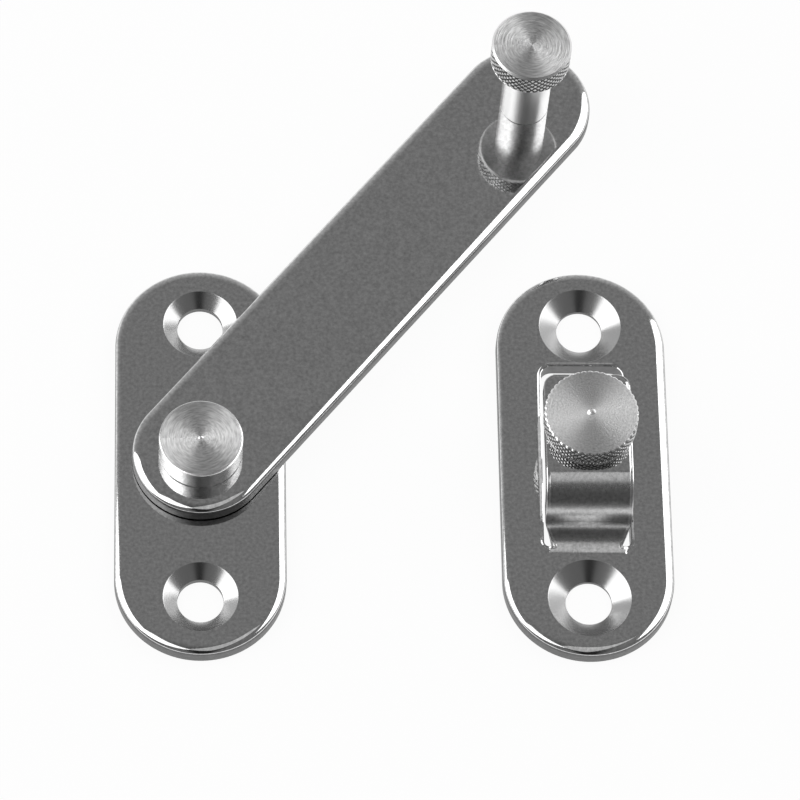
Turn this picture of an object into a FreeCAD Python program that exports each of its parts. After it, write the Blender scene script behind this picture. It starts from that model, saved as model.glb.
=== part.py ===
import FreeCAD, Part
import math
import os

import Sketcher
from FreeCAD import Placement, Rotation, Vector

# Swivel door bolt in stainless sheet and turned bar: a base plate with a long arm on a riveted
# stud, and a keeper plate whose raised tongue takes the arm and holds it with a clamp screw.
# Millimetres. The origin is on the pivot axis at the back of the base plate, +Z is away from
# the door, +Y runs along the plates and +X points to the keeper. The arm stands as in the photo.

os.makedirs("parts", exist_ok=True)
doc = FreeCAD.newDocument("SwivelDoorBolt")

# Driving dimensions, each with the name used in the expressions below.
SIZES = [
    # Both plates are stamped from the same sheet.
    ("sheet_thick", 2.0),
    ("plate_width", 20.0),
    ("plate_length", 50.0),
    ("plate_edge_round", 0.8),
    # Screw holes, countersunk for a 4.5 mm wood screw.
    ("screw_spacing", 35.5),
    ("screw_hole_dia", 5.4),
    ("base_sink_dia", 8.5),
    ("keeper_sink_dia", 9.5),
    ("base_sink_angle", 100.0),
    ("keeper_sink_angle", 105.0),
    # Swinging arm.
    ("arm_reach", 61.0),
    ("arm_width", 16.0),
    ("arm_thick", 2.0),
    ("arm_edge_round", 0.8),
    ("arm_rest_angle", 50.1),
    # Pivot: shim, shoulder stud and its rivet in the base plate.
    ("washer_dia", 12.0),
    ("washer_thick", 0.25),
    ("pivot_shank_dia", 6.0),
    ("pivot_running_gap", 0.05),
    ("pivot_end_play", 0.05),
    ("pivot_head_dia", 9.8),
    ("pivot_head_high", 3.1),
    ("pivot_edge_break", 0.15),
    ("rivet_dia", 4.6),
    ("rivet_spread_deep", 0.7),
    # Knob at the arm's end.
    ("knob_head_dia", 9.5),
    ("knob_head_high", 3.3),
    ("knob_top_chamfer", 0.35),
    ("knob_lower_chamfer", 0.2),
    ("knob_stem_dia", 5.8),
    ("knob_stem_high", 10.8),
    # Keeper: window and the S-bent tongue that is lanced from it.
    ("keeper_offset_x", 45.1),
    ("keeper_offset_y", 0.0),
    ("window_width", 10.2),
    ("window_top", 12.35),
    ("window_bottom", 10.5),
    ("window_corner", 1.4),
    ("window_edge_break", 0.4),
    ("tongue_width", 10.1),
    ("tongue_top", 8.4),
    ("tongue_tip", 8.1),
    ("tongue_tip_corner", 1.5),
    ("tongue_root", 11.7),
    ("tongue_root_bend", 3.4),
    ("tongue_crown_bend", 5.0),
    ("tongue_riser_angle", 74.0),
    ("tongue_edge_break", 0.35),
    ("relief_dia", 1.5),
    ("relief_spread", 9.3),
    # Clamp screw through the tongue.
    ("clamp_place", 1.8),
    ("clamp_side", 0.2),
    ("clamp_head_dia", 11.0),
    ("clamp_head_high", 2.5),
    ("clamp_edge_break", 0.2),
    ("clamp_shank_dia", 4.0),
    ("clamp_thread_gap", 0.05),
    ("clamp_tip_gap", 0.15),
    ("clamp_tip_chamfer", 0.5),
]

sheet = doc.addObject("Spreadsheet::Sheet", "Sizes")
for row, (name, value) in enumerate(SIZES, start=1):
    sheet.set("A%d" % row, name)
    sheet.set("B%d" % row, str(value))
    sheet.setAlias("B%d" % row, name)
doc.recompute()


def size(name):
    return float(sheet.get(name))


def bind(target, path, formula):
    """Ties one property or constraint to a formula of sheet names, written with @ before each."""
    target.setExpression(path, formula.replace("@", "Sizes."))


def origin_plane(body, role):
    return [plane for plane in body.Origin.OriginFeatures if plane.Role == role][0]


def new_body(label):
    body = doc.addObject("PartDesign::Body", label)
    body.Label = label
    return body


def new_sketch(body, name, role="XY_Plane", height=None):
    sketch = body.newObject("Sketcher::SketchObject", name)
    sketch.AttachmentSupport = [(origin_plane(body, role), "")]
    sketch.MapMode = "FlatFace"
    if height:
        bind(sketch, "AttachmentOffset.Base.z", height)
    return sketch


def fix(sketch, kind, *where, formula):
    """Adds a dimension and ties it to the sheet."""
    index = sketch.addConstraint(Sketcher.Constraint(kind, *where))
    bind(sketch, "Constraints[%d]" % index, formula)


def horizontal_slot(sketch, x_near, x_far, radius, near, far, round_formula):
    """A round-ended strip along X; near and far are the formulas of its two end centres."""
    up, down = Vector(0, 0, 1), math.pi / 2
    first = Part.Circle(Vector(x_near, 0, 0), up, radius)
    last = Part.Circle(Vector(x_far, 0, 0), up, radius)
    left = sketch.addGeometry(Part.ArcOfCircle(first, down, 3 * down))
    right = sketch.addGeometry(Part.ArcOfCircle(last, -down, down))
    top = sketch.addGeometry(Part.LineSegment(Vector(x_far, radius, 0), Vector(x_near, radius, 0)))
    low = sketch.addGeometry(Part.LineSegment(Vector(x_near, -radius, 0), Vector(x_far, -radius, 0)))
    for pair in ((right, 2, top, 1), (top, 2, left, 1), (left, 2, low, 1), (low, 2, right, 1)):
        sketch.addConstraint(Sketcher.Constraint("Tangent", *pair))
    sketch.addConstraint(Sketcher.Constraint("PointOnObject", left, 3, -1))
    fix(sketch, "Radius", left, radius, formula=round_formula)
    if near is None:
        sketch.addConstraint(Sketcher.Constraint("PointOnObject", left, 3, -2))
    else:
        fix(sketch, "DistanceX", left, 3, -1, 1, -x_near, formula=near)
    fix(sketch, "DistanceX", -1, 1, right, 3, x_far, formula=far)


def circles(sketch, radius, formula, centres):
    """Circles of one radius; each centre is (x, y, x formula or None, y formula or None)."""
    for x, y, x_formula, y_formula in centres:
        ring = sketch.addGeometry(Part.Circle(Vector(x, y, 0), Vector(0, 0, 1), radius))
        fix(sketch, "Radius", ring, radius, formula=formula)
        for kind, place, axis, place_formula in (("DistanceX", x, -2, x_formula),
                                                 ("DistanceY", y, -1, y_formula)):
            if place_formula is None:
                sketch.addConstraint(Sketcher.Constraint("PointOnObject", ring, 3, axis))
            elif place < 0:
                fix(sketch, kind, ring, 3, -1, 1, -place, formula=place_formula)
            else:
                fix(sketch, kind, -1, 1, ring, 3, place, formula=place_formula)


def pad(body, name, sketch, formula, symmetric=False):
    feature = body.newObject("PartDesign::Pad", name)
    feature.Profile = sketch
    bind(feature, "Length", formula)
    if symmetric:
        feature.SideType = "Symmetric"
    doc.recompute()
    return feature


def cut_through(body, name, sketch, upward=True):
    """Removes the sketch's outline all the way, and stops if nothing was removed."""
    before = body.Shape.Volume
    feature = body.newObject("PartDesign::Pocket", name)
    feature.Profile = sketch
    feature.Type = "ThroughAll"
    feature.Reversed = upward
    doc.recompute()
    if not body.Shape.Volume < before:
        raise RuntimeError(name + " removes nothing")
    return feature


def edge_names(shape, wanted):
    return ["Edge%d" % n for n, edge in enumerate(shape.Edges, start=1) if wanted(edge)]


def round_edges(body, name, base, names, formula):
    feature = body.newObject("PartDesign::Fillet", name)
    feature.Base = (base, names)
    bind(feature, "Radius", formula)
    doc.recompute()
    return feature


def break_edges(body, name, base, names, formula):
    feature = body.newObject("PartDesign::Chamfer", name)
    feature.Base = (base, names)
    feature.ChamferType = "Equal distance"
    bind(feature, "Size", formula)
    doc.recompute()
    return feature


def at_height(edge, z):
    box = edge.BoundBox
    return abs(box.ZMin - z) < 1e-6 and abs(box.ZMax - z) < 1e-6


def turned(body, name, profile):
    """A turned piece: the profile's points are (radius, height) formulas, axis on Z."""
    sketch = new_sketch(body, name + "_profile", "XZ_Plane")
    spots = [(worth(radius), worth(height)) for radius, height in profile]
    count = len(profile)
    for n in range(count):
        start, end = spots[n], spots[(n + 1) % count]
        sketch.addGeometry(Part.LineSegment(Vector(*start, 0), Vector(*end, 0)))
    for n in range(count):
        sketch.addConstraint(Sketcher.Constraint("Coincident", n, 2, (n + 1) % count, 1))
    for n, ((radius, height), (x, z)) in enumerate(zip(profile, spots)):
        if radius == "0":
            sketch.addConstraint(Sketcher.Constraint("PointOnObject", n, 1, -2))
        else:
            fix(sketch, "DistanceX", -1, 1, n, 1, x, formula=radius)
        if height == "0":
            sketch.addConstraint(Sketcher.Constraint("PointOnObject", n, 1, -1))
        else:
            fix(sketch, "DistanceY", -1, 1, n, 1, z, formula=height)
    feature = body.newObject("PartDesign::Revolution", name)
    feature.Profile = sketch
    feature.ReferenceAxis = (sketch, ["V_Axis"])
    feature.Angle = 360.0
    doc.recompute()
    return feature


def worth(formula):
    """The number that a formula of sheet names gives now, to start a sketch in its true place."""
    sheet.set("D1", "=" + formula.replace("@", ""))
    doc.recompute([sheet])
    return float(sheet.get("D1"))


def countersunk_pair(body, sink_dia, sink_angle):
    """Two countersunk screw holes on the plate's centre line, open to the front."""
    half = size("screw_spacing") / 2
    spots = new_sketch(body, body.Name + "_screw_places", height="@sheet_thick")
    circles(spots, size("screw_hole_dia") / 2, "@screw_hole_dia / 2",
            [(0, half, None, "@screw_spacing / 2"), (0, -half, None, "@screw_spacing / 2")])
    doc.recompute()
    hole = body.newObject("PartDesign::Hole", body.Name + "_screw_holes")
    hole.Profile = spots
    doc.recompute()
    hole.Threaded = False
    hole.DepthType = "ThroughAll"
    bind(hole, "Diameter", "@screw_hole_dia")
    hole.HoleCutType = "Countersink"
    hole.HoleCutCustomValues = True
    bind(hole, "HoleCutDiameter", "@" + sink_dia)
    bind(hole, "HoleCutCountersinkAngle", "@" + sink_angle)
    doc.recompute()
    return hole


def stamped_plate(label):
    """The round-ended plate that both halves start from, with its drawn-over front edge."""
    body = new_body(label)
    outline = new_sketch(body, label + "_outline")
    half = (size("plate_length") - size("plate_width")) / 2
    radius = size("plate_width") / 2
    # The strip is drawn along the sketch's X and turned, so that the plate stands along Y.
    outline.AttachmentOffset = Placement(Vector(0, 0, 0), Rotation(Vector(0, 0, 1), 90))
    horizontal_slot(outline, -half, half, radius, "(@plate_length - @plate_width) / 2",
                    "(@plate_length - @plate_width) / 2", "@plate_width / 2")
    blank = pad(body, label + "_blank", outline, "@sheet_thick")
    rim = edge_names(blank.Shape, lambda edge: at_height(edge, size("sheet_thick")))
    round_edges(body, label + "_edge", blank, rim, "@plate_edge_round")
    return body


# Base plate: two screw holes and, in the middle, the rivet hole spread at the back.
base_plate = stamped_plate("base_plate")
countersunk_pair(base_plate, "base_sink_dia", "base_sink_angle")
rivet_seat = new_sketch(base_plate, "rivet_seat")
circles(rivet_seat, size("rivet_dia") / 2, "@rivet_dia / 2", [(0, 0, None, None)])
rivet_bore = cut_through(base_plate, "rivet_bore", rivet_seat)
back_rim = edge_names(rivet_bore.Shape, lambda edge: at_height(edge, 0)
                      and edge.Curve.TypeId == "Part::GeomCircle"
                      and abs(edge.Curve.Radius - size("rivet_dia") / 2) < 1e-4)
break_edges(base_plate, "rivet_cone", rivet_bore, back_rim, "@rivet_spread_deep")

# Pivot stud: flush rivet end, shoulder that sets the arm's room, and the plain turned head.
ARM_FLOOR = "(@sheet_thick + @washer_thick)"
HEAD_FLOOR = "(@sheet_thick + @washer_thick + @arm_thick + @pivot_end_play)"
pivot_stud = new_body("pivot_stud")
turned(pivot_stud, "stud_turned", [
    ("0", "0"),
    ("@rivet_dia / 2 + @rivet_spread_deep", "0"),
    ("@rivet_dia / 2", "@rivet_spread_deep"),
    ("@rivet_dia / 2", "@sheet_thick"),
    ("@pivot_shank_dia / 2", "@sheet_thick"),
    ("@pivot_shank_dia / 2", HEAD_FLOOR),
    ("@pivot_head_dia / 2", HEAD_FLOOR),
    ("@pivot_head_dia / 2", HEAD_FLOOR + " + @pivot_head_high - @pivot_edge_break"),
    ("@pivot_head_dia / 2 - @pivot_edge_break", HEAD_FLOOR + " + @pivot_head_high"),
    ("0", HEAD_FLOOR + " + @pivot_head_high"),
])

# Pivot washer: the thin shim that keeps the arm off both plates.
pivot_washer = new_body("pivot_washer")
washer_ring = new_sketch(pivot_washer, "washer_ring")
circles(washer_ring, size("washer_dia") / 2, "@washer_dia / 2", [(0, 0, None, None)])
circles(washer_ring, size("pivot_shank_dia") / 2 + size("pivot_running_gap"),
        "@pivot_shank_dia / 2 + @pivot_running_gap", [(0, 0, None, None)])
pad(pivot_washer, "washer_blank", washer_ring, "@washer_thick")
bind(pivot_washer, "Placement.Base.z", "@sheet_thick")

# Swinging arm, drawn along +X from the pivot and turned to the angle that the photo shows.
swing_arm = new_body("swing_arm")
arm_outline = new_sketch(swing_arm, "arm_outline")
horizontal_slot(arm_outline, 0, size("arm_reach"), size("arm_width") / 2, None,
                "@arm_reach", "@arm_width / 2")
arm_blank = pad(swing_arm, "arm_blank", arm_outline, "@arm_thick")
arm_rim = edge_names(arm_blank.Shape, lambda edge: at_height(edge, size("arm_thick")))
round_edges(swing_arm, "arm_edge", arm_blank, arm_rim, "@arm_edge_round")
arm_holes = new_sketch(swing_arm, "arm_holes")
circles(arm_holes, size("pivot_shank_dia") / 2 + size("pivot_running_gap"),
        "@pivot_shank_dia / 2 + @pivot_running_gap", [(0, 0, None, None)])
circles(arm_holes, size("rivet_dia") / 2, "@rivet_dia / 2",
        [(size("arm_reach"), 0, "@arm_reach", None)])
arm_bores = cut_through(swing_arm, "arm_bores", arm_holes)
knob_rim = edge_names(arm_bores.Shape, lambda edge: at_height(edge, 0)
                      and edge.Curve.TypeId == "Part::GeomCircle"
                      and abs(edge.Curve.Radius - size("rivet_dia") / 2) < 1e-4)
break_edges(swing_arm, "knob_cone", arm_bores, knob_rim, "@rivet_spread_deep")
swing_arm.Placement = Placement(Vector(0, 0, 0), Rotation(Vector(0, 0, 1), size("arm_rest_angle")))
bind(swing_arm, "Placement.Base.z", ARM_FLOOR)

# Arm knob: riveted through the arm, plain stem, head that the hand takes.
STEM_TOP = "@arm_thick + @knob_stem_high"
arm_knob = new_body("arm_knob")
turned(arm_knob, "knob_turned", [
    ("0", "0"),
    ("@rivet_dia / 2 + @rivet_spread_deep", "0"),
    ("@rivet_dia / 2", "@rivet_spread_deep"),
    ("@rivet_dia / 2", "@arm_thick"),
    ("@knob_stem_dia / 2", "@arm_thick"),
    ("@knob_stem_dia / 2", STEM_TOP),
    ("@knob_head_dia / 2 - @knob_lower_chamfer", STEM_TOP),
    ("@knob_head_dia / 2", STEM_TOP + " + @knob_lower_chamfer"),
    ("@knob_head_dia / 2", STEM_TOP + " + @knob_head_high - @knob_top_chamfer"),
    ("@knob_head_dia / 2 - @knob_top_chamfer", STEM_TOP + " + @knob_head_high"),
    ("0", STEM_TOP + " + @knob_head_high"),
])
bind(arm_knob, "Placement.Base.x", "@arm_reach * cos(@arm_rest_angle * 1deg)")
bind(arm_knob, "Placement.Base.y", "@arm_reach * sin(@arm_rest_angle * 1deg)")
bind(arm_knob, "Placement.Base.z", ARM_FLOOR)

# Keeper plate. The window comes first, then the tongue rises from its lower edge.
keeper_plate = stamped_plate("keeper_plate")
countersunk_pair(keeper_plate, "keeper_sink_dia", "keeper_sink_angle")
window = new_sketch(keeper_plate, "window")
half_wide, top, bottom = size("window_width") / 2, size("window_top"), -size("window_bottom")
corners = [Vector(-half_wide, bottom, 0), Vector(half_wide, bottom, 0),
           Vector(half_wide, top, 0), Vector(-half_wide, top, 0)]
for n in range(4):
    window.addGeometry(Part.LineSegment(corners[n], corners[(n + 1) % 4]))
for n in range(4):
    window.addConstraint(Sketcher.Constraint("Coincident", n, 2, (n + 1) % 4, 1))
for n, kind in enumerate(("Horizontal", "Vertical", "Horizontal", "Vertical")):
    window.addConstraint(Sketcher.Constraint(kind, n))
fix(window, "DistanceX", -1, 1, 1, 1, half_wide, formula="@window_width / 2")
fix(window, "DistanceX", 0, 1, -1, 1, half_wide, formula="@window_width / 2")
fix(window, "DistanceY", -1, 1, 2, 1, top, formula="@window_top")
fix(window, "DistanceY", 0, 1, -1, 1, -bottom, formula="@window_bottom")
window_cut = cut_through(keeper_plate, "window_cut", window)


def window_corner(edge):
    box = edge.BoundBox
    return (box.ZLength > size("sheet_thick") - 1e-4 and box.XLength < 1e-4 and box.YLength < 1e-4
            and abs(box.YMin - size("window_top")) < 1e-4)


window_round = round_edges(keeper_plate, "window_corners", window_cut,
                           edge_names(window_cut.Shape, window_corner), "@window_corner")


def window_rim(edge):
    """The window's front outline but for its lower edge, where the tongue starts."""
    box = edge.BoundBox
    return (at_height(edge, size("sheet_thick")) and edge.Curve.TypeId != "Part::GeomCircle"
            and max(abs(box.XMin), abs(box.XMax)) < half_wide + 1e-3 and box.YMax > bottom + 1e-3
            or at_height(edge, size("sheet_thick")) and edge.Curve.TypeId == "Part::GeomCircle"
            and abs(edge.Curve.Radius - size("window_corner")) < 1e-4)


break_edges(keeper_plate, "window_edge", window_round,
            edge_names(window_round.Shape, window_rim), "@window_edge_break")

# Tongue section, seen from +X: root, bend up, riser, crown bend and the flat that carries the
# screw. The lower bend turns about a centre above the sheet, the crown bend about one below it.
thick = size("sheet_thick")
root_bend, crown_bend = size("tongue_root_bend"), size("tongue_crown_bend")
riser = math.radians(size("tongue_riser_angle"))
root_y, root_z = -size("tongue_root"), thick + root_bend
crown_z = size("tongue_top") - crown_bend
run = (root_z - crown_z - (root_bend + crown_bend) * math.cos(riser)) / math.sin(riser)
crown_y = root_y + (root_bend + crown_bend) * math.sin(riser) + run * math.cos(riser)
embed_y = root_y - thick


def around(centre_y, centre_z, radius, angle):
    return Vector(centre_y + radius * math.sin(angle), centre_z - radius * math.cos(angle), 0)


def bend(sketch, centre_y, centre_z, radius, start, end):
    ring = Part.Circle(Vector(centre_y, centre_z, 0), Vector(0, 0, 1), radius)
    return sketch.addGeometry(Part.ArcOfCircle(ring, start, end))


section = new_sketch(keeper_plate, "tongue_section", "YZ_Plane")
quarter = math.pi / 2
over_low = around(root_y, root_z, root_bend, riser)
over_high = around(crown_y, crown_z, -crown_bend, riser)
under_high = around(crown_y, crown_z, thick - crown_bend, riser)
under_low = around(root_y, root_z, root_bend + thick, riser)
tip_y, tip_z = size("tongue_tip"), size("tongue_top")
root_top = section.addGeometry(Part.LineSegment(Vector(embed_y, thick, 0), Vector(root_y, thick, 0)))
root_over = bend(section, root_y, root_z, root_bend, -quarter, riser - quarter)
riser_over = section.addGeometry(Part.LineSegment(over_low, over_high))
crown_over = bend(section, crown_y, crown_z, crown_bend, quarter, quarter + riser)
flat_over = section.addGeometry(Part.LineSegment(Vector(crown_y, tip_z, 0), Vector(tip_y, tip_z, 0)))
tip_face = section.addGeometry(Part.LineSegment(Vector(tip_y, tip_z, 0),
                                                Vector(tip_y, tip_z - thick, 0)))
flat_under = section.addGeometry(Part.LineSegment(Vector(tip_y, tip_z - thick, 0),
                                                  Vector(crown_y, tip_z - thick, 0)))
crown_under = bend(section, crown_y, crown_z, crown_bend - thick, quarter, quarter + riser)
riser_under = section.addGeometry(Part.LineSegment(under_high, under_low))
root_under = bend(section, root_y, root_z, root_bend + thick, -quarter, riser - quarter)
root_back = section.addGeometry(Part.LineSegment(Vector(root_y, 0, 0), Vector(embed_y, 0, 0)))
root_end = section.addGeometry(Part.LineSegment(Vector(embed_y, 0, 0), Vector(embed_y, thick, 0)))
for pair in ((root_top, 2, root_over, 1), (root_over, 2, riser_over, 1),
             (riser_over, 2, crown_over, 2), (crown_over, 1, flat_over, 1),
             (flat_under, 2, crown_under, 1), (crown_under, 2, riser_under, 1),
             (riser_under, 2, root_under, 2), (root_under, 1, root_back, 1)):
    section.addConstraint(Sketcher.Constraint("Tangent", *pair))
for pair in ((flat_over, 2, tip_face, 1), (tip_face, 2, flat_under, 1),
             (root_back, 2, root_end, 1), (root_end, 2, root_top, 1),
             (root_over, 3, root_under, 3), (crown_over, 3, crown_under, 3)):
    section.addConstraint(Sketcher.Constraint("Coincident", *pair))
for line in (root_top, flat_over, flat_under, root_back):
    section.addConstraint(Sketcher.Constraint("Horizontal", line))
for line in (tip_face, root_end):
    section.addConstraint(Sketcher.Constraint("Vertical", line))
fix(section, "Radius", root_over, root_bend, formula="@tongue_root_bend")
fix(section, "Radius", root_under, root_bend + thick, formula="@tongue_root_bend + @sheet_thick")
fix(section, "Radius", crown_over, crown_bend, formula="@tongue_crown_bend")
fix(section, "Radius", crown_under, crown_bend - thick,
    formula="@tongue_crown_bend - @sheet_thick")
fix(section, "DistanceX", root_over, 3, -1, 1, -root_y, formula="@tongue_root")
fix(section, "DistanceX", root_top, 1, root_top, 2, thick, formula="@sheet_thick")
fix(section, "DistanceY", -1, 1, root_top, 1, thick, formula="@sheet_thick")
fix(section, "DistanceY", -1, 1, flat_over, 2, tip_z, formula="@tongue_top")
fix(section, "DistanceX", -1, 1, flat_over, 2, tip_y, formula="@tongue_tip")
fix(section, "Angle", -1, 1, riser_over, 1, riser, formula="@tongue_riser_angle * 1deg")
tongue = pad(keeper_plate, "tongue", section, "@tongue_width", symmetric=True)


def tip_corner(edge):
    box = edge.BoundBox
    return (box.XLength < 1e-4 and box.YLength < 1e-4
            and abs(box.ZLength - size("sheet_thick")) < 1e-4
            and abs(box.YMin - size("tongue_tip")) < 1e-4)


tip_round = round_edges(keeper_plate, "tongue_tip_corners", tongue,
                        edge_names(tongue.Shape, tip_corner), "@tongue_tip_corner")


# Round reliefs at the two ends of the bend line, so that the sheet doesn't tear there.
relief = new_sketch(keeper_plate, "relief")
circles(relief, size("relief_dia") / 2, "@relief_dia / 2",
        [(side * size("relief_spread") / 2, -size("window_bottom"), "@relief_spread / 2",
          "@window_bottom") for side in (-1, 1)])
relief_cut = cut_through(keeper_plate, "relief_cut", relief)


def on_tongue_face(point):
    """True for a point of the tongue's face that is turned away from the door."""
    if point.z < root_z - root_bend * math.cos(riser) + 1e-4:
        return abs(math.hypot(point.y - root_y, point.z - root_z) - root_bend) < 1e-4
    if point.y < crown_y:
        return abs(math.hypot(point.y - crown_y, point.z - crown_z) - crown_bend) < 1e-4 or \
            abs((point.y - over_low.x) * math.sin(riser) - (point.z - over_low.y) * math.cos(riser)) < 1e-4
    return abs(point.z - tip_z) < 1e-4


def tongue_rim(edge):
    """The outline of that face: its two sides, the tip and the rounded corners between them."""
    box = edge.BoundBox
    middle = edge.valueAt((edge.FirstParameter + edge.LastParameter) / 2)
    half = size("tongue_width") / 2
    beside = abs(abs(middle.x) - half) < 1e-4 and box.XLength < 1e-3 and middle.y > bottom
    around_tip = at_height(edge, tip_z) and middle.y > tip_y - size("tongue_tip_corner")
    return (beside or around_tip) and box.ZMax > thick + 1e-3 and on_tongue_face(middle)


break_edges(keeper_plate, "tongue_edge", relief_cut,
            edge_names(relief_cut.Shape, tongue_rim), "@tongue_edge_break")

# Tapped hole of the clamp screw, plain at the thread's outer size.
clamp_hole = new_sketch(keeper_plate, "clamp_hole")
circles(clamp_hole, size("clamp_shank_dia") / 2 + size("clamp_thread_gap"),
        "@clamp_shank_dia / 2 + @clamp_thread_gap",
        [(size("clamp_side"), size("clamp_place"), "@clamp_side", "@clamp_place")])
cut_through(keeper_plate, "clamp_bore", clamp_hole)
bind(keeper_plate, "Placement.Base.x", "@keeper_offset_x")
bind(keeper_plate, "Placement.Base.y", "@keeper_offset_y")

# Clamp screw: its tip ends just above the closed arm, its head sits on the tongue.
TIP_HEIGHT = "(@sheet_thick + @washer_thick + @arm_thick + @clamp_tip_gap)"
SHANK = "@tongue_top - " + TIP_HEIGHT
clamp_screw = new_body("clamp_screw")
turned(clamp_screw, "screw_turned", [
    ("0", "0"),
    ("@clamp_shank_dia / 2 - @clamp_tip_chamfer", "0"),
    ("@clamp_shank_dia / 2", "@clamp_tip_chamfer"),
    ("@clamp_shank_dia / 2", SHANK),
    ("@clamp_head_dia / 2 - @clamp_edge_break", SHANK),
    ("@clamp_head_dia / 2", SHANK + " + @clamp_edge_break"),
    ("@clamp_head_dia / 2", SHANK + " + @clamp_head_high - @clamp_edge_break"),
    ("@clamp_head_dia / 2 - @clamp_edge_break", SHANK + " + @clamp_head_high"),
    ("0", SHANK + " + @clamp_head_high"),
])
bind(clamp_screw, "Placement.Base.x", "@keeper_offset_x + @clamp_side")
bind(clamp_screw, "Placement.Base.y", "@keeper_offset_y + @clamp_place")
bind(clamp_screw, "Placement.Base.z", TIP_HEIGHT)

doc.recompute()

PIECES = [base_plate, pivot_stud, pivot_washer, swing_arm, arm_knob, keeper_plate, clamp_screw]
for thing in doc.Objects:
    if "Invalid" in thing.State or "Error" in thing.State:
        raise RuntimeError("%s failed: %s" % (thing.Name, thing.State))
for piece in PIECES:
    shape = piece.Shape
    if shape.isNull() or not shape.isValid() or len(shape.Solids) != 1:
        raise RuntimeError(piece.Label + " is not one valid solid")
for piece in PIECES:
    piece.Shape.exportStep("parts/%s.step" % piece.Label)
    box = piece.Shape.BoundBox
    print("%-13s volume %8.2f  x %7.2f %7.2f  y %7.2f %7.2f  z %6.2f %6.2f" % (
        piece.Label, piece.Shape.Volume, box.XMin, box.XMax, box.YMin, box.YMax, box.ZMin, box.ZMax))
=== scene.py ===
import math
import bmesh
import bpy
from mathutils import Matrix, Vector


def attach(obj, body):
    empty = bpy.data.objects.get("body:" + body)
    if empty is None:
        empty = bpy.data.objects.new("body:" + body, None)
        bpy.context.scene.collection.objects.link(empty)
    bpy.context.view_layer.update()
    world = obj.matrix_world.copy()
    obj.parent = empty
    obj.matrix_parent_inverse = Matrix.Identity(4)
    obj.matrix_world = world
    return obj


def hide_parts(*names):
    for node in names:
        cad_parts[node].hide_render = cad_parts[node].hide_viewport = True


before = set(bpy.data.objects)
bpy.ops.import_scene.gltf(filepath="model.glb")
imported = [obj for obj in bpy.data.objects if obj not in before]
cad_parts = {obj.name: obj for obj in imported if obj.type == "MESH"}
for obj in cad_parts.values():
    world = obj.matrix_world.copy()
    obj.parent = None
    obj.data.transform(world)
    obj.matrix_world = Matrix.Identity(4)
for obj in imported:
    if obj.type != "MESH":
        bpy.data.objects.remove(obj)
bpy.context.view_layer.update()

mm = 0.001
print("frame loaded with", len(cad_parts), "nodes, building the swivel door bolt")

# a long lens from high in front, as the photograph was taken
cameraSettings = {
    "lens": 245.73,
    "place": (-8.921, -281.921, 575.672),
    "turn": (26.8125, -2.7144, -1.0372),
    "near": 0.05,
}

cameraData = bpy.data.cameras.new("camera")
cameraData.lens = cameraSettings["lens"]
cameraData.clip_start = cameraSettings["near"]
camera = bpy.data.objects.new("camera", cameraData)
camera.location = [value * mm for value in cameraSettings["place"]]
camera.rotation_euler = [math.radians(angle) for angle in cameraSettings["turn"]]
bpy.context.scene.collection.objects.link(camera)
bpy.context.scene.camera = camera
bpy.context.scene.view_settings.view_transform = "Standard"
print("camera set")


def grey(level):
    return (level, level, level, 1)


class Nodes:
    def __init__(self, tree):
        self.nodes = tree.nodes
        self.links = tree.links

    def feed(self, socket, value):
        if isinstance(value, bpy.types.NodeSocket):
            self.links.new(value, socket)
        else:
            socket.default_value = value

    def add(self, kind, **values):
        # each value goes to the input of that name, or else to the node's own setting
        node = self.nodes.new("ShaderNode" + kind)
        for key, value in values.items():
            if key in node.inputs.keys():
                self.feed(node.inputs[key], value)
            else:
                setattr(node, key, value)
        return node

    def math(self, operation, *values, kind="Math", result="Value"):
        node = self.add(kind, operation=operation)
        for socket, value in zip(node.inputs, values):
            self.feed(socket, value)
        return node.outputs[result]

    def mix(self, low, high, share):
        return self.add("MixRGB", Color1=low, Color2=high, Fac=share).outputs["Color"]

    def ramp(self, value, start, end, low=0.0, high=1.0):
        node = self.add("MapRange", Value=value)
        for name, given in (("From Min", start), ("From Max", end), ("To Min", low), ("To Max", high)):
            self.feed(node.inputs[name], given)
        return node.outputs["Result"]


class Shader(Nodes):
    def __init__(self, name, level, roughness, metallic=0):
        self.material = bpy.data.materials.new(name)
        self.material.use_nodes = True
        super().__init__(self.material.node_tree)
        self.principled = self.nodes["Principled BSDF"]
        self.surface = self.principled.inputs
        self.surface["Base Color"].default_value = grey(level)
        self.surface["Roughness"].default_value = roughness
        self.surface["Metallic"].default_value = metallic

    def bump(self, height, depth, under=None):
        node = self.add("Bump", Height=height, Strength=1.0, Distance=depth)
        if under:
            self.feed(node.inputs["Normal"], under)
        return node.outputs["Normal"]

    def tracks(self, across, marks):
        # marks of a tool, which change in one direction only
        normal = None
        for scale, depth in marks:
            track = self.add("TexNoise", noise_dimensions="1D", W=across, Scale=scale, Detail=2.0)
            normal = self.bump(track.outputs["Fac"], depth, normal)
        return normal

    def mottle(self, share, settings):
        dark, light = (settings["grey"] * (1 + sign * settings["mottle"]) for sign in (-1, 1))
        self.feed(self.surface["Base Color"], self.mix(grey(dark), grey(light), share))


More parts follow.
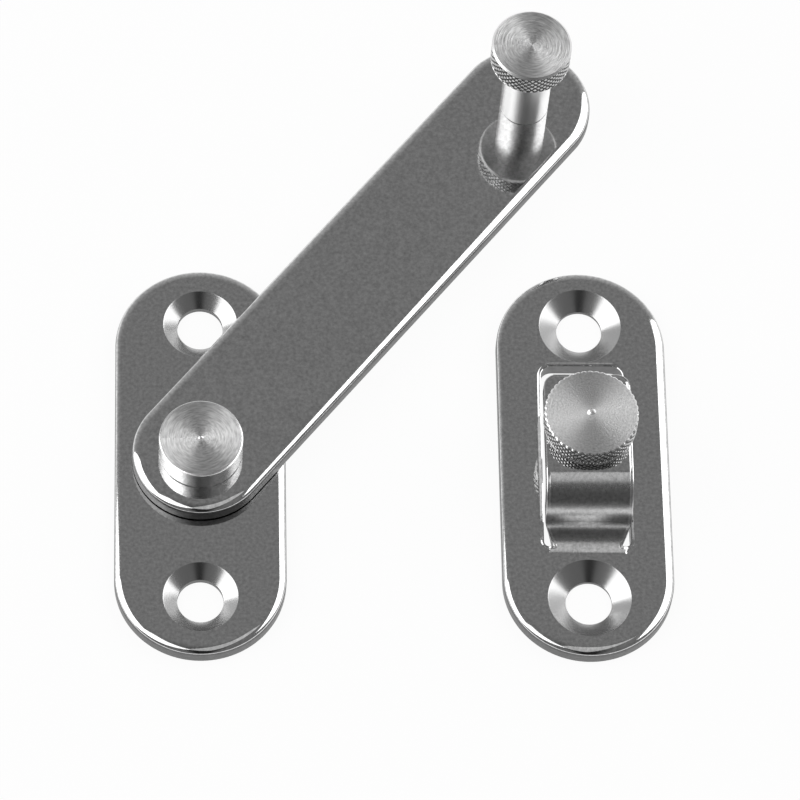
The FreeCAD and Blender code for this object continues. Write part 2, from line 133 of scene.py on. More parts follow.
def sheetSteel(name, settings):
    shader = Shader(name, settings["grey"], settings["roughness"], 1)
    place = shader.add("TexCoord").outputs["Object"]
    fine = {"Vector": place, "Detail": settings["detail"], "Roughness": settings["detailRough"]}
    grain = shader.add("TexNoise", Scale=settings["grainScale"], **fine).outputs["Fac"]
    spots = shader.add("TexNoise", Scale=settings["mottleScale"], **fine).outputs["Fac"]
    waves = shader.add("TexNoise", Vector=place, Scale=settings["waveScale"], Detail=1.0).outputs["Fac"]
    normal = shader.bump(waves, settings["waveDeep"], shader.bump(grain, settings["grainDeep"]))
    shader.feed(shader.surface["Normal"], normal)
    shader.mottle(spots, settings)
    least, most = (settings["roughness"] * share for share in settings["grainRough"])
    formed = shader.add("Attribute", attribute_name="formed").outputs["Fac"]
    rough = shader.ramp(grain, 0, 1, least, most)
    rough = shader.math("MULTIPLY_ADD", formed, settings["formedRough"], rough)
    shader.feed(shader.surface["Roughness"], rough)
    return shader.material


def sinkSteel(name, settings):
    # cut by a tool that turns about Z: each of its marks lies at one height
    shader = Shader(name, settings["grey"], settings["roughness"], 1)
    split = shader.add("SeparateXYZ", Vector=shader.add("TexCoord").outputs["Object"])
    shader.feed(shader.surface["Normal"], shader.tracks(split.outputs["Z"], settings["marks"]))
    return shader.material


def turnedSteel(name, settings):
    # cutting marks in rings round the axis, broken into arcs, and the tool's sweep as anisotropy
    shader = Shader(name, settings["grey"], settings["roughness"], 1)
    shader.surface["Anisotropic"].default_value = settings["anisotropy"]
    shader.surface["Anisotropic Rotation"].default_value = settings["grainTurn"]
    axis = (-settings["axis"][0] * mm, -settings["axis"][1] * mm, 0)
    place = shader.add("TexCoord").outputs["Object"]
    centred = shader.add("Mapping", Vector=place, Location=axis).outputs["Vector"]
    split = shader.add("SeparateXYZ", Vector=centred).outputs
    level = shader.math("MULTIPLY", centred, (1, 1, 0), kind="VectorMath", result="Vector")
    radius = shader.math("LENGTH", level, kind="VectorMath")
    angle = shader.math("ARCTAN2", split["Y"], split["X"])
    polar = shader.add("CombineXYZ", X=radius, Y=shader.math("MULTIPLY", angle, settings["arcTurn"]))
    arcs = shader.add("TexNoise", noise_dimensions="2D", Vector=polar.outputs["Vector"],
                      Scale=settings["arcScale"], Detail=2.0).outputs["Fac"]
    shader.mottle(arcs, settings)
    normal = shader.bump(arcs, settings["arcDeep"], shader.tracks(radius, settings["rings"]))
    shader.feed(shader.surface["Normal"], normal)
    tangent = shader.add("Tangent", direction_type="RADIAL", axis="Z").outputs["Tangent"]
    shader.feed(shader.surface["Tangent"], tangent)
    return shader.material


sheetFinish = {
    "grey": 0.68,
    "roughness": 0.05,
    "formedRough": 0.0,
    "detail": 3.0,
    "detailRough": 0.6,
    "grainScale": 5200,
    "grainDeep": 0.0000006,
    "grainRough": (0.7, 1.3),  # least and most of the roughness
    "waveScale": 260,
    "waveDeep": 0.000002,
    "mottle": 0.50,
    "mottleScale": 2500,
}
formedFinish = dict(sheetFinish, formedRough=0.23)
# painted shade: the walls' dark grey 0.16 stands in for the darker room that the sheared and steep rolled
# walls reflect; their rougher, deeper grain is their own
paintedShadeWallFinish = dict(sheetFinish, grey=0.16, roughness=0.38, grainScale=4000, grainDeep=0.000012,
                  waveScale=900, waveDeep=0.000006, mottle=0.3, mottleScale=1500)
sinkFinish = {
    "grey": 0.54,
    "roughness": 0.22,
    "marks": ((9000, 0.0000012), (30000, 0.0000005)),  # scale and depth of each set
}
turnedFinish = {
    "grey": 0.68,
    "roughness": 0.46,
    "anisotropy": 0.88,
    "mottle": 0.5,
    "grainTurn": 0.25,
    "rings": ((3500, 0.000012), (14000, 0.000006)),
    "arcScale": 5000,
    "arcTurn": 0.0006,
    "arcDeep": 0.000020,
    "axis": (0, 0),
}
polishFinish = {
    "grey": 0.86,
    "roughness": 0.25,
    "marks": ((6000, 0.0000010), (1500, 0.0000012)),
}

# the order of the materials on a sheet and on a turned piece
sheetSlots = {"flat": 0, "wall": 1, "sink": 2, "formed": 3}
turnedSlots = {"end": 0, "side": 1, "under": 2, "knurl": 3, "groove": 4}

sheetMaterials = [sheetSteel("satinSheet", sheetFinish), sheetSteel("shearedWallPaintedShade", paintedShadeWallFinish),
                  sinkSteel("sinkSteel", sinkFinish), sheetSteel("formedSteel", formedFinish)]
polishMaterial = sinkSteel("polishedSteel", polishFinish)
stemMaterial = sinkSteel("turnedStem", dict(polishFinish, grey=0.78, roughness=0.36))
# painted shade: the heads' downward faces get a darker grey 0.36 for the shade under them
knurlMaterials = [sinkSteel("headUndersidePaintedShade", dict(polishFinish, grey=0.36, roughness=0.36)),
                  sinkSteel("knurledSteel", dict(polishFinish, grey=0.62, roughness=0.2)),
                  # painted shade: the knurl's grooves are near-black 0.10 for the shade down in them
                  sinkSteel("knurlGroovePaintedShade", dict(polishFinish, grey=0.10, roughness=0.35))]
washerMaterial = sheetSteel("washerSteel", dict(sheetFinish, roughness=0.2))
print("steels ready")

# what the mesh helpers share, in millimetres and as the Z part of a face's normal
meshing = {
    "rimSteps": 128,
    "rimRows": 16,
    "holeSteps": 96,
    "turnSteps": 128,
    "weld": 1e-7,
    "fine": 1e-6,
    "join": 1e-5,
    "slack": 1e-4,
    "hair": 0.001,
    "wall": 0.02,
    "rolledWall": 0.42,
    "sink": (0.3, 0.9),
    "end": 0.95,
    "flat": 0.99999,
    "sheetAngle": 35,
    "turnedAngle": 20,
}


def circleLoop(bm, radius, height, centre):
    made = set(bmesh.ops.create_circle(bm, segments=meshing["holeSteps"], radius=radius)["verts"])
    bmesh.ops.translate(bm, verts=list(made), vec=(centre[0], centre[1], height))
    return [line for line in bm.edges if line.verts[0] in made]


def stack(bm, rings, centre):
    loops = [circleLoop(bm, radius, height, centre) for radius, height in rings]
    for upper, lower in zip(loops, loops[1:]):
        bmesh.ops.bridge_loops(bm, edges=upper + lower)
    return loops[0], loops[-1]


def slotBlank(bm, sheet, span):
    # an obround sheet from the origin along +X, its upper rim rolled down and then rounded off
    steps, thick, edge = meshing["rimSteps"], sheet["thick"], sheet["edge"]
    verts = bmesh.ops.create_circle(bm, cap_ends=True, segments=steps, radius=sheet["width"] / 2)["verts"]
    bmesh.ops.rotate(bm, verts=verts, matrix=Matrix.Rotation(math.pi / steps, 3, "Z"))
    bmesh.ops.translate(bm, verts=[vert for vert in verts if vert.co.x > 0], vec=(span, 0, 0))
    grown = bmesh.ops.extrude_face_region(bm, geom=bm.faces[:], use_keep_orig=True)["geom"]
    top = [item for item in grown if isinstance(item, bmesh.types.BMVert)]
    bmesh.ops.translate(bm, verts=top, vec=(0, 0, thick))
    rim = [line for line in bm.edges
           if all(abs(vert.co.z - thick) < meshing["fine"] for vert in line.verts)]
    bmesh.ops.bevel(bm, geom=rim, offset=edge["reach"], segments=meshing["rimRows"], profile=0.5,
                    affect="EDGES", offset_type="OFFSET", material=-1)
    for vert in bm.verts:
        fallen = (thick - vert.co.z) / edge["reach"]
        if fallen < 1 + meshing["slack"]:
            outward = math.sqrt(max(0, 1 - (1 - fallen) ** 2))
            corner = max(0, (outward - edge["cornerStart"]) / (1 - edge["cornerStart"]))
            rounded = edge["corner"] * (1 - math.sqrt(max(0, 1 - corner ** 2)))
            vert.co.z = thick - edge["roll"] * outward ** 2 - rounded
    caps = [face for face in bm.faces if len(face.verts) > 8]  # the rest are the rim's own quads
    bmesh.ops.delete(bm, geom=caps, context="FACES_ONLY")
    border = [line for line in bm.edges if len(line.link_faces) < 2]
    return splitSides(border, thick)


def splitSides(lines, thick):
    return ([line for line in lines if line.verts[0].co.z > thick / 2],
            [line for line in lines if line.verts[0].co.z < thick / 2])


def punchedSheet(bm, sheet, span, holes):
    # gives the open edges of the upper and the lower side, with those of the holes
    over, under = slotBlank(bm, sheet, span)
    for rings, centre in holes:
        upper, lower = stack(bm, rings, centre)
        over, under = over + upper, under + lower
    return over, under


def fillFlat(bm, *sides):
    for lines in sides:
        bmesh.ops.triangle_fill(bm, use_beauty=True, edges=lines, normal=(0, 0, 1))


def nearHole(face):
    middle = face.calc_center_median()
    return math.hypot(middle.x, abs(middle.y) - plate["screwSpacing"] / 2) < plate["sinkReach"]


def sheetSide(face):
    lean = abs(face.normal.z)
    # steep faces of the rolled rim, away from the holes, get the wall's dark painted shade as well
    if lean < meshing["wall"] or lean < meshing["rolledWall"] and not nearHole(face):
        return sheetSlots["wall"]
    if meshing["sink"][0] < lean < meshing["sink"][1] and nearHole(face):
        return sheetSlots["sink"]
    return face.material_index


def turnedSide(face):
    # faces pointing down take the under slot; on the knob and the clamp that slot holds a darker painted
    # shade
    if face.normal.z < -meshing["end"]:
        return turnedSlots["under"]
    if face.normal.z < meshing["end"] and face.material_index == turnedSlots["end"]:
        return turnedSlots["side"]
    return face.material_index


def creases(bm, angle, sideOf):
    bmesh.ops.remove_doubles(bm, verts=bm.verts, dist=meshing["weld"])
    bmesh.ops.recalc_face_normals(bm, faces=bm.faces)
    for face in bm.faces:
        face.smooth = True
        face.material_index = sideOf(face)
    for line in bm.edges:
        flats = {abs(face.normal.z) > meshing["flat"] for face in line.link_faces}
        line.smooth = len(flats) < 2 and line.calc_face_angle(0) <= math.radians(angle)


def finishPiece(bm, name, body, node, materials):
    bmesh.ops.scale(bm, verts=bm.verts, vec=(mm, mm, mm))
    mesh = bpy.data.meshes.new(name)
    bm.to_mesh(mesh)
    bm.free()
    for material in materials:
        mesh.materials.append(material)
    piece = bpy.data.objects.new(name, mesh)
    bpy.context.scene.collection.objects.link(piece)
    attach(piece, body)
    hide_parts(node)
    print("piece", name, "faces", len(mesh.polygons))


def turnedPiece(profile, steps):
    bm = bmesh.new()
    points = [bm.verts.new((radius, 0, height)) for radius, height in profile]
    for pair in zip(points, points[1:]):
        bm.edges.new(pair)
    bmesh.ops.spin(bm, geom=bm.verts[:] + bm.edges[:], cent=(0, 0, 0), axis=(0, 0, 1),
                   angle=2 * math.pi, steps=steps, use_merge=True)
    bmesh.ops.remove_doubles(bm, verts=bm.verts, dist=meshing["join"])
    return bm


plate = {
    "width": 20.0,
    "length": 50.0,
    "thick": 2.0,
    "edge": {"reach": 1.15, "roll": 0.32, "corner": 0.45, "cornerStart": 0.72},
    "screwSpacing": 35.5,
    "bore": 5.4,
    "sink": 8.5,
    "sinkAngle": 100,
    "sinkReach": 5.0,
    "lip": 0.12,
    "lipStep": (0.3, 0.8),  # inward and down, as shares of the lip
    "rivet": 4.6,
    "rivetSpread": 0.7,
}


def sinkRings(sink, angle):
    thick, lip, bore = plate["thick"], plate["lip"], plate["bore"] / 2
    throat = thick - (sink / 2 - bore) / math.tan(math.radians(angle / 2))
    inward, down = plate["lipStep"]
    return [(sink / 2 + lip, thick), (sink / 2 - lip * inward, thick - lip * down),
            (bore, throat), (bore, 0)]


def rivetRings(radius, spread, thick):
    return [(radius, thick), (radius, spread), (radius + spread, 0)]


def plateSheet(bm, holes):
    # holes are given by their place up the plate, to the side of it and their rings
    span = plate["length"] - plate["width"]
    sides = punchedSheet(bm, plate, span, [(rings, (span / 2 + up, -side)) for up, side, rings in holes])
    bmesh.ops.translate(bm, verts=bm.verts, vec=(-span / 2, 0, 0))
    bmesh.ops.rotate(bm, verts=bm.verts, matrix=Matrix.Rotation(math.pi / 2, 3, "Z"))
    return sides


def buildBasePlate():
    bm = bmesh.new()
    rings, half = sinkRings(plate["sink"], plate["sinkAngle"]), plate["screwSpacing"] / 2
    rivet = rivetRings(plate["rivet"] / 2, plate["rivetSpread"], plate["thick"])
    fillFlat(bm, *plateSheet(bm, [(-half, 0, rings), (0, 0, rivet), (half, 0, rings)]))
    creases(bm, meshing["sheetAngle"], sheetSide)
    finishPiece(bm, "basePlate", "root", "base_plate", sheetMaterials)


buildBasePlate()

# the stud on which the arm turns, riveted in the base plate
stud = {
    "shank": 6.0,
    "under": 4.30,
    "top": 7.40,
    "head": 9.8,
    "edge": 0.15,
    "edgeBulge": 0.3,
    "dimple": 0.3,
    "dimpleDeep": 0.13,
}


def buildPivotStud():
    inner, spread = plate["rivet"] / 2, plate["rivetSpread"]
    shank, head, edge = stud["shank"] / 2, stud["head"] / 2, stud["edge"]
    under, top, bulge = stud["under"], stud["top"], edge * stud["edgeBulge"]
    profile = [(0, 0), (inner + spread, 0), (inner, spread), (inner, plate["thick"]),
               (shank, plate["thick"]), (shank, under), (head - edge, under), (head, under + edge),
               (head, top - edge), (head - bulge, top - bulge), (head - edge, top),
               (stud["dimple"], top), (0, top - stud["dimpleDeep"])]
    bm = turnedPiece(profile, meshing["turnSteps"])
    creases(bm, meshing["turnedAngle"], turnedSide)
    finishPiece(bm, "pivotStud", "root", "pivot_stud",
                [turnedSteel("turnedPivot", turnedFinish), polishMaterial, polishMaterial])


buildPivotStud()

arm = {
    "reach": 61.0,
    "width": 16.0,
    "thick": 2.0,
    "edge": {"reach": 1.3, "roll": 0.36, "corner": 0.45, "cornerStart": 0.75},
    "bottom": 2.25,
    "turn": 50.1,
    "bore": 6.1,
    "knobBore": 4.6,
    "knobSpread": 0.7,
}


def buildArm():
    bm = bmesh.new()
    pivotHole = [(arm["bore"] / 2, arm["thick"]), (arm["bore"] / 2, 0)]
    knobHole = rivetRings(arm["knobBore"] / 2, arm["knobSpread"], arm["thick"])
    holes = [(pivotHole, (0, 0)), (knobHole, (arm["reach"], 0))]
    fillFlat(bm, *punchedSheet(bm, arm, arm["reach"], holes))
    creases(bm, meshing["sheetAngle"], sheetSide)
    bmesh.ops.rotate(bm, verts=bm.verts, matrix=Matrix.Rotation(math.radians(arm["turn"]), 3, "Z"))
    bmesh.ops.translate(bm, verts=bm.verts, vec=(0, 0, arm["bottom"]))
    finishPiece(bm, "swingArm", "arm", "swing_arm", sheetMaterials)


buildArm()

# the knurled knob at the end of the arm
knob = {
    "head": 9.5,
    "headHigh": 3.3,
    "topBreak": 0.24,
    "lowBreak": 0.2,
    "stem": 5.8,
    "footBreak": 0.12,
    "stemHigh": 10.8,
    "rivet": 4.6,
    "spread": 0.7,
    "diamonds": 38,
    "rows": 3.5,
    "deep": 0.18,
    "rings": ((1500, 0.000045), (4200, 0.000030)),
    "arcDeep": 0.000012,
    "roughness": 0.40,
    "grainTurn": 0.30,
}

# what both knurls share
knurl = {
    "grid": 12,  # points of the mesh for each diamond
    "runOut": 0.12,
    "flank": 1.6,
    "grooveFrom": 0.45,  # share of the depth from which a face counts as groove
    "topReach": 0.9,
    "weld": 0.002,
}


def joined(bm, other):
    mesh = bpy.data.meshes.new("other")
    other.to_mesh(mesh)
    other.free()
    bm.from_mesh(mesh)
    bpy.data.meshes.remove(mesh)
    return bm


def knurlBand(bm, radius, low, high, settings, toTop):
    # a fine grid round the rim, pressed in along two crossing sets of grooves
    diamonds, rows, deep = settings["diamonds"], settings["rows"], settings["deep"]
    levels = int(rows * knurl["grid"])
    line = [bm.verts.new((radius, 0, low + (high - low) * n / levels)) for n in range(levels + 1)]
    edges = [bm.edges.new(pair) for pair in zip(line, line[1:])]
    before = set(bm.faces)
    bmesh.ops.spin(bm, geom=line + edges, cent=(0, 0, 0), axis=(0, 0, 1), angle=2 * math.pi,
                   steps=diamonds * knurl["grid"], use_merge=True)
    band = set(bm.faces) - before
    verts = {vert for face in band for vert in face.verts}
    if toTop:
        verts |= {vert for vert in bm.verts if vert.co.z > high - meshing["hair"]
                  and vert.co.xy.length > radius * knurl["topReach"]}
    for vert in verts:
        turn = math.atan2(vert.co.y, vert.co.x) / (2 * math.pi) * diamonds
        rise = (vert.co.z - low) / (high - low) * rows
        crest = min(1 - 2 * abs((turn + rise) % 1 - 0.5), 1 - 2 * abs((turn - rise) % 1 - 0.5))
        ends = min(1, (vert.co.z - low) / knurl["runOut"])
        if not toTop:
            ends = min(ends, (high - vert.co.z) / knurl["runOut"])
        share = 1 - deep * (1 - min(1, knurl["flank"] * crest)) * ends / radius
        vert.co.x, vert.co.y = vert.co.x * share, vert.co.y * share
    for face in band:
        sunk = radius - face.calc_center_median().xy.length
        # faces sunk past grooveFrom get the grooves' near-black painted shade
        face.material_index = turnedSlots["groove" if sunk > deep * knurl["grooveFrom"] else "knurl"]


def knurledPiece(lower, upper, settings, toTop=False):
    # two turned halves with the knurl between the end of one and the start of the other
    steps = settings["diamonds"] * knurl["grid"]
    bm = joined(turnedPiece(lower, steps), turnedPiece(upper, steps))
    radius, low = lower[-1]
    knurlBand(bm, radius, low, upper[0][1], settings, toTop)
    bmesh.ops.remove_doubles(bm, verts=bm.verts, dist=knurl["weld"])
    creases(bm, meshing["turnedAngle"], turnedSide)
    return bm


def buildKnob():
    turn = math.radians(arm["turn"])
    centre = (arm["reach"] * math.cos(turn), arm["reach"] * math.sin(turn))
    bottom, seat = arm["bottom"], arm["bottom"] + arm["thick"]
    under = seat + knob["stemHigh"]
    top = under + knob["headHigh"]
    inner, spread, stem, head = knob["rivet"] / 2, knob["spread"], knob["stem"] / 2, knob["head"] / 2
    foot, low, high = knob["footBreak"], knob["lowBreak"], knob["topBreak"]
    lower = [(0, bottom), (inner + spread, bottom), (inner, bottom + spread), (inner, seat),
             (stem - foot, seat), (stem, seat + foot), (stem, under), (head - low, under),
             (head, under + low)]
    upper = [(head, top - high), (head - high, top), (0, top)]
    bm = knurledPiece(lower, upper, knob)
    bmesh.ops.translate(bm, verts=bm.verts, vec=(*centre, 0))
    finish = dict(turnedFinish, axis=centre, rings=knob["rings"], arcDeep=knob["arcDeep"],
                  roughness=knob["roughness"], grainTurn=knob["grainTurn"])
    finishPiece(bm, "armKnob", "arm", "arm_knob",
                [turnedSteel("turnedKnob", finish), stemMaterial] + knurlMaterials)


buildKnob()

# the keeper plate with its lanced tongue, drawn in the flat sheet and then bent
keeper = {
    "centre": 45.1,
    "sink": 9.5,
    "sinkAngle": 105,
    "window": 9.72,
    "windowTop": 12.45,
    "windowBottom": 10.5,
    "windowCorner": 1.4,
    "root": 12.55,
    "rootMargin": 0.5,
    "spread": 0.05,
    "sharpAngle": 14,
    "tongue": 9.62,
    "tongueTop": 8.4,
    "tongueTip": 8.1,
    "tipCorner": 1.5,
    "easeBend": 5.5,
    "easeTurn": 18,
    "rootBend": 2.8,
    "crownBend": 5.0,
    "riser": 74,
    "relief": 1.3,
    "reliefSpread": 8.9,
    "reliefInner": 0.6,  # inner corner and shoulder, as shares of the relief
    "reliefShoulder": 1.2,
    "cornerSteps": 10,
    "break": 0.4,
    "dieRoll": ((0.05, 0.012), (0.25, 0.012), (0.10, 0.06)),  # steps inward and down
    "clampBore": 4.1,
    "clampSide": 0.2,
    "clampPlace": 1.8,
    "rows": 20,
    "matting": 2.2,
}


def tonguePath():
    # the tongue's face from its root line: length, radius (0 where straight) and lean at the start
    ease, steep = math.radians(keeper["easeTurn"]), math.radians(keeper["riser"])
    soft, low, high = keeper["easeBend"], keeper["rootBend"], keeper["crownBend"]
    rise = (keeper["tongueTop"] - plate["thick"] - soft * (1 - math.cos(ease))
            - low * (math.cos(ease) - math.cos(steep)) - high * (1 - math.cos(steep)))
    return [(soft * ease, soft, 0), (low * (steep - ease), low, ease),
            (rise / math.sin(steep), 0, steep), (high * steep, -high, steep)]


def bentFace(along):
    # where a length from the root line ends on the bent face, and how the face leans there
    y, z = -keeper["root"], plate["thick"]
    for length, radius, start in tonguePath():
        part = min(along, length)
        along -= part
        if radius:
            lean = start + part / radius
            y += radius * (math.sin(lean) - math.sin(start))
            z += radius * (math.cos(start) - math.cos(lean))
        else:
            lean = start
            y, z = y + part * math.cos(start), z + part * math.sin(start)
        if not along:
            return y, z, lean
    return y + along, z, 0


def flatPlace(y):
    # a place on the raised flat, measured back into the sheet before it is bent
    length = sum(length for length, _, _ in tonguePath())
    return y - bentFace(length)[0] + length - keeper["root"]


def onTongue(point):
    # the tongue's part of the flat sheet, up to the middle of the slit round it
    side = (keeper["window"] + keeper["tongue"]) / 4
    tip = (flatPlace(keeper["tongueTip"]) + keeper["windowTop"]) / 2
    corner = (keeper["windowCorner"] + keeper["tipCorner"]) / 2
    across = abs(point.x)
    if point.y < -keeper["windowBottom"]:
        side = keeper["reliefSpread"] / 2
    if across > side - corner and point.y > tip - corner:
        return math.hypot(across - side + corner, point.y - tip + corner) < corner
    return across < side and -keeper["root"] < point.y < tip


def lanceOutline(bm):
    # the C-shaped cut that frees the tongue, drawn in the flat sheet and grown by the broken edge
    grow = keeper["break"]
    wide, narrow = keeper["window"] / 2 + grow, keeper["tongue"] / 2 - grow
    relief, side = keeper["relief"] / 2 + grow, keeper["reliefSpread"] / 2
    inner, shoulder = relief * keeper["reliefInner"], relief * keeper["reliefShoulder"]
    top, bottom = keeper["windowTop"] + grow, -keeper["windowBottom"]
    end = flatPlace(keeper["tongueTip"]) - grow
    outerCorner, tipCorner = keeper["windowCorner"] + grow, keeper["tipCorner"] - grow
    half = [(wide, top, outerCorner), (side + relief, bottom - relief, relief),
            (side - relief, bottom - relief, inner), (narrow, bottom + shoulder, relief),
            (narrow, end, tipCorner)]
    corners = half + [(-x, y, radius) for x, y, radius in reversed(half)]
    verts = [bm.verts.new((x, y, plate["thick"])) for x, y, _ in corners]
    bm.faces.new(verts)
    for wanted in (outerCorner, relief, inner, tipCorner):
        chosen = [vert for vert, (_, _, radius) in zip(verts, corners) if radius == wanted]
        bmesh.ops.bevel(bm, geom=chosen, offset=wanted, segments=keeper["cornerSteps"], profile=0.5,
                        affect="VERTICES", offset_type="OFFSET", material=-1, clamp_overlap=False)
    bmesh.ops.remove_doubles(bm, verts=bm.verts, dist=meshing["slack"])


def lanceWalls():
    cut = bmesh.new()
    lanceOutline(cut)
    cut.faces.ensure_lookup_table()
    face = cut.faces[0]
    for step, drop in keeper["dieRoll"]:
        bmesh.ops.inset_region(cut, faces=[face], thickness=step, depth=0, use_even_offset=True,
                               use_boundary=True)
        bmesh.ops.translate(cut, verts=face.verts[:], vec=(0, 0, -drop))
    grown = bmesh.ops.extrude_face_region(cut, geom=[face])["geom"]
    for item in grown:
        if isinstance(item, bmesh.types.BMVert):
            item.co.z = 0
    caps = [cap for cap in cut.faces if len(cap.verts) > 20]  # the walls are quads
    bmesh.ops.delete(cut, geom=caps, context="FACES_ONLY")
    return cut


def cutRows(bm):
    # lines across the tongue, close enough for its bends
    cuts, start = [], 0
    for length, radius, _ in tonguePath():
        rows = keeper["rows"] if radius else 1
        cuts += [start + length * n / rows for n in range(rows + 1)]
        start += length
    first, last = -keeper["root"] - keeper["rootMargin"], flatPlace(keeper["tongueTip"])
    for along in cuts:
        middles = [(face, face.calc_center_median()) for face in bm.faces]
        faces = [face for face, middle in middles
                 if abs(middle.x) < keeper["window"] / 2 and first < middle.y < last]
        lines = list(dict.fromkeys(line for face in faces for line in face.edges))
        verts = list(dict.fromkeys(vert for face in faces for vert in face.verts))
        bmesh.ops.bisect_plane(bm, geom=faces + lines + verts, dist=meshing["fine"],
                               plane_co=(0, along - keeper["root"], 0), plane_no=(0, 1, 0))


def bendTongue(bm):
    # bending spreads the sheet a little, and mats it where it leans
    formed = bm.verts.layers.float.new("formed")
    for vert in bm.verts:
        if onTongue(vert.co):
            y, z, lean = bentFace(vert.co.y + keeper["root"])
            deep = plate["thick"] - vert.co.z
            vert[formed] = min(1, math.sin(lean) * keeper["matting"])
            vert.co.y, vert.co.z = y + deep * math.sin(lean), z - deep * math.cos(lean)
            vert.co.x *= 1 + keeper["spread"] * min(1, max(0, vert.co.z / plate["thick"] - 1))
    raised = plate["thick"] + meshing["hair"]
    for face in bm.faces:
        if face.material_index == sheetSlots["flat"] and face.calc_center_median().z > raised:
            face.material_index = sheetSlots["formed"]


def buildKeeper():
    bm = bmesh.new()
    rings, half = sinkRings(keeper["sink"], keeper["sinkAngle"]), plate["screwSpacing"] / 2
    bore = [(keeper["clampBore"] / 2, plate["thick"]), (keeper["clampBore"] / 2, 0)]
    over, under = plateSheet(bm, [(-half, 0, rings), (half, 0, rings),
                                  (flatPlace(keeper["clampPlace"]), keeper["clampSide"], bore)])
    known = set(bm.edges)
    joined(bm, lanceWalls())
    loose = [line for line in bm.edges if line not in known and len(line.link_faces) < 2]
    upper, lower = splitSides(loose, plate["thick"])
    fillFlat(bm, over + upper, under + lower)
    bmesh.ops.remove_doubles(bm, verts=bm.verts, dist=meshing["join"])
    cutRows(bm)
    creases(bm, keeper["sharpAngle"], sheetSide)
    bendTongue(bm)
    bmesh.ops.translate(bm, verts=bm.verts, vec=(keeper["centre"], 0, 0))
    finishPiece(bm, "keeperPlate", "root", "keeper_plate", sheetMaterials)


buildKeeper()

# the knurled screw in the tongue
clamp = {
    "tip": 4.40,
    "seat": 8.4,
    "head": 11.0,
    "high": 2.5,
    "edge": 0.2,
    "shank": 4.0,
    "tipBreak": 0.5,
    "topBreak": 0.12,
    "diamonds": 44,
    "rows": 2.5,
    "deep": 0.12,
    "dimple": 0.5,
    "dimpleDeep": 0.2,
    "grey": 0.57,
    "anisotropy": 0.80,
    "mottle": 0.3,
    "arcTurn": 0.003,
}


def buildClamp():
    shank, head = clamp["shank"] / 2, clamp["head"] / 2
    edge, high, tip = clamp["edge"], clamp["topBreak"], clamp["tip"]
    low, top = clamp["seat"], clamp["seat"] + clamp["high"]
    lower = [(0, tip), (shank - clamp["tipBreak"], tip), (shank, tip + clamp["tipBreak"]), (shank, low),
             (head - edge, low), (head, low + edge)]
    upper = [(head, top - high), (head - high, top), (clamp["dimple"], top),
             (0, top - clamp["dimpleDeep"])]
    bm = knurledPiece(lower, upper, clamp, toTop=True)
    centre = (keeper["centre"] + keeper["clampSide"], keeper["clampPlace"])
    bmesh.ops.translate(bm, verts=bm.verts, vec=(*centre, 0))
    finish = dict(turnedFinish, axis=centre, grey=clamp["grey"], anisotropy=clamp["anisotropy"],
                  mottle=clamp["mottle"], arcTurn=clamp["arcTurn"])
    finishPiece(bm, "clampScrew", "clamp", "clamp_screw",
                [turnedSteel("turnedClamp", finish), polishMaterial] + knurlMaterials)


buildClamp()

# the washer under the arm keeps the shape of its CAD node
washer = bpy.data.objects["pivot_washer"]
washer.data.materials.clear()
washer.data.materials.append(washerMaterial)

studio = {
    "floorSize": 6.0,
    "floorDrop": 0.00002,
    "floorGrey": 0.9,
    "floorRough": 0.9,
    "floorLift": 0.94,
    "turnHalf": 0.35,  # half of the way from the front's levels to the back's
    "horizon": 0.04,
    "frontHorizon": 0.22,
    "backHorizon": 0.8,
    "frontReach": 0.2,
    "backReach": 0.8,
    "front": 0.17,
    "gap": 0.02,
    "gapMiddle": 0.04,
    "gapHalf": (0.10, 0.24),
    "back": 0.22,
    "aim": (0.02, 0.0, 0.0),
}
lamps = {
    "left": {"place": (-0.46, 0.0, 0.36), "size": (0.54, 0.70), "level": 2.0},
    "right": {"place": (0.45, 0.17, 0.42), "size": (0.54, 0.52), "level": 2.0},
    "overLeft": {"place": (-0.19, -0.10, 0.66), "size": (0.24, 0.22), "level": 1.6},
    "over": {"place": (0.09, -0.04, 0.66), "size": (0.34, 0.16), "level": 0.45},
}


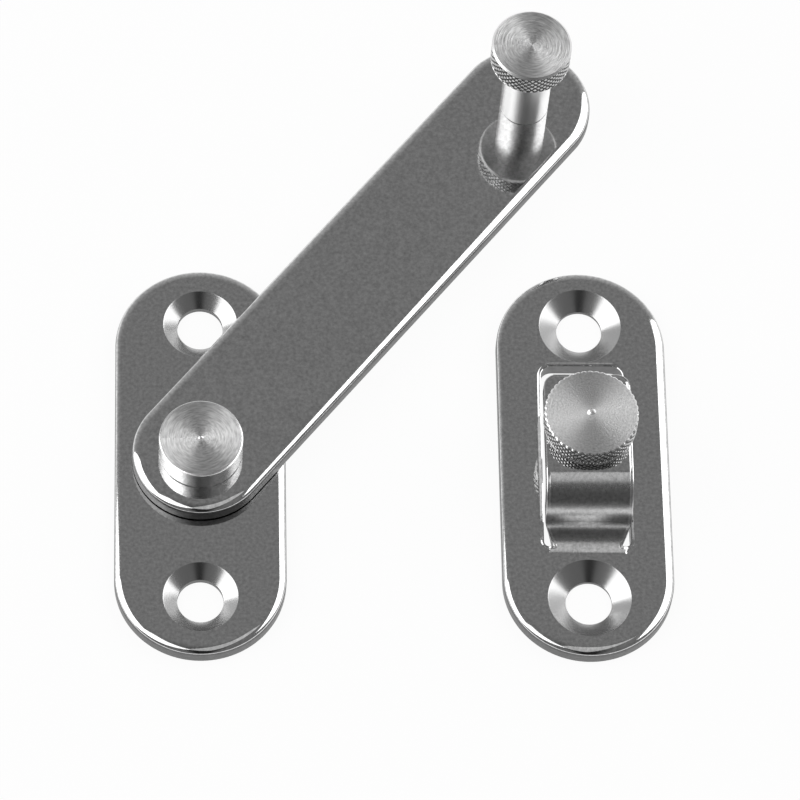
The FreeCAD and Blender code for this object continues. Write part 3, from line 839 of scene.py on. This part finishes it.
def buildFloor():
    bm = bmesh.new()
    bmesh.ops.create_grid(bm, x_segments=1, y_segments=1, size=studio["floorSize"] / 2)
    bmesh.ops.translate(bm, verts=bm.verts, vec=(0, 0, -studio["floorDrop"]))
    mesh = bpy.data.meshes.new("floor")
    bm.to_mesh(mesh)
    bm.free()
    floor = bpy.data.objects.new("floor", mesh)
    bpy.context.scene.collection.objects.link(floor)
    # pure white where the camera or a mirror image sees it, with the shadows left in
    shader = Shader("floorWhite", studio["floorGrey"], studio["floorRough"])
    rays = shader.add("LightPath").outputs
    seen = shader.math("MAXIMUM", rays["Is Camera Ray"], rays["Is Glossy Ray"])
    seen = shader.math("MAXIMUM", seen, rays["Is Transmission Ray"])
    mix = shader.add("MixShader", Fac=shader.math("MULTIPLY", seen, studio["floorLift"]))
    shader.feed(mix.inputs[1], shader.principled.outputs["BSDF"])
    shader.feed(mix.inputs[2], shader.add("Emission", Strength=1.0).outputs["Emission"])
    shader.feed(shader.nodes["Material Output"].inputs["Surface"], mix.outputs["Shader"])
    mesh.materials.append(shader.material)


def buildWorld():
    world = bpy.data.worlds.new("studio")
    bpy.context.scene.world = world
    world.use_nodes = True
    room = Nodes(world.node_tree)
    way = room.add("SeparateXYZ", Vector=room.add("TexCoord").outputs["Generated"]).outputs
    depth = room.ramp(way["Y"], -studio["turnHalf"], studio["turnHalf"])
    # the dark gap in the middle of the front, where the camera stands between the lamps
    aside = room.math("ABSOLUTE", room.math("SUBTRACT", way["X"], studio["gapMiddle"]))
    front = room.ramp(aside, *studio["gapHalf"], studio["gap"], studio["front"])
    walls = room.mix(front, grey(studio["back"]), depth)
    skirting = room.mix(grey(studio["frontHorizon"]), grey(studio["backHorizon"]), depth)
    reach = room.ramp(depth, 0, 1, studio["frontReach"], studio["backReach"])
    height = room.ramp(way["Z"], studio["horizon"], reach)
    room.feed(room.nodes["Background"].inputs["Color"], room.mix(skirting, walls, height))


def buildLamps():
    for name, values in lamps.items():
        data = bpy.data.lights.new(name, "AREA")
        data.shape = "RECTANGLE"
        data.size, data.size_y = values["size"]
        data.energy = values["level"] * math.pi * data.size * data.size_y
        lamp = bpy.data.objects.new(name, data)
        lamp.location = values["place"]
        aim = Vector(studio["aim"]) - Vector(values["place"])
        lamp.rotation_euler = aim.to_track_quat("-Z", "Y").to_euler()
        lamp.visible_camera = False
        bpy.context.scene.collection.objects.link(lamp)


buildFloor()
buildWorld()
buildLamps()
print("studio lit")
